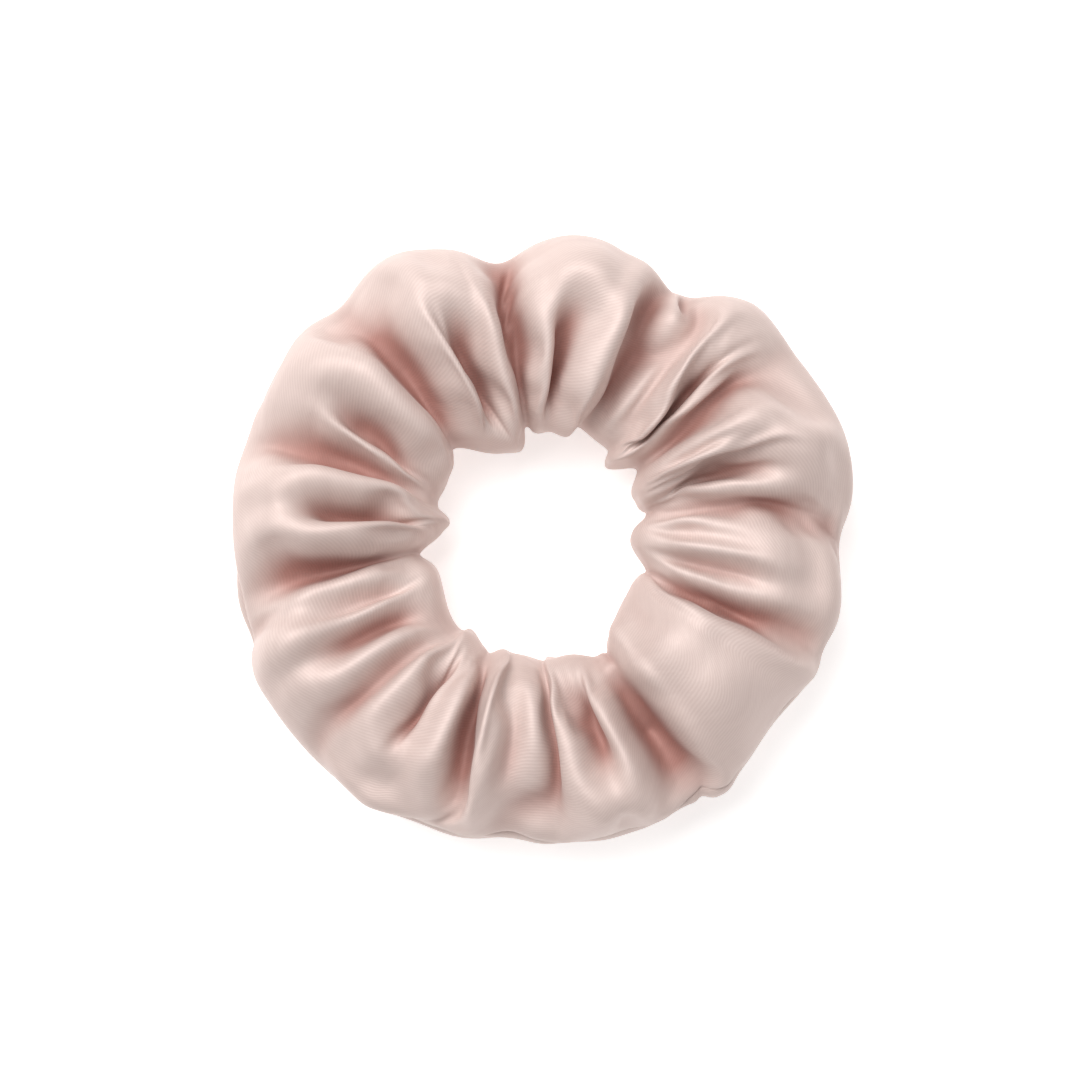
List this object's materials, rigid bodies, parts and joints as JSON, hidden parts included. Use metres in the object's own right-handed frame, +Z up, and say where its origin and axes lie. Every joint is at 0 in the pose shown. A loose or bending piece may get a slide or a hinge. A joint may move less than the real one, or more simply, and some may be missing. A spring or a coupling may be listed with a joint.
{
  "type": "scrunchie",
  "caption": "Gathered satin scrunchie: a soft ruched fabric ring over a hidden elastic loop, stretched round hair to hold a ponytail or bun.",
  "frame": {"origin": "centre of the ring's bounding box, on its underside, where it lies on a table", "axes": "+Z up through the ring's hole, along its shortest extent; +X towards the widest lobe in the hole; +Y square to both; the tube's ends are joined 58 degrees clockwise of +X, seen from above"},
  "size_m": [0.1099, 0.1086, 0.0279],
  "materials": {
    "blush_satin": "soft satin weave, blush pink, smooth with a broad sheen",
    "white_elastic": "white braided elastic, matt",
    "pink_thread": "polyester sewing thread, blush pink",
    "white_thread": "polyester sewing thread, white"
  },
  "bodies": {
    "ring": {"satin_cover": "blush_satin", "elastic_band": "white_elastic", "long_seam_needle_thread": "pink_thread", "long_seam_bobbin_thread": "pink_thread"},
    "join": {"closing_seam_needle_thread": "pink_thread", "closing_seam_bobbin_thread": "pink_thread", "elastic_join_needle_thread": "white_thread", "elastic_join_bobbin_thread": "white_thread"}
  },
  "joints": [
    {"name": "stretch", "type": "slide", "parent": "ring", "child": "join", "axis": [0.5299, -0.848, 0], "range_m": [0, 0.07], "stiffness_N_per_m": 60, "deforming": ["satin_cover", "elastic_band", "long_seam_needle_thread", "long_seam_bobbin_thread"]}
  ]
}
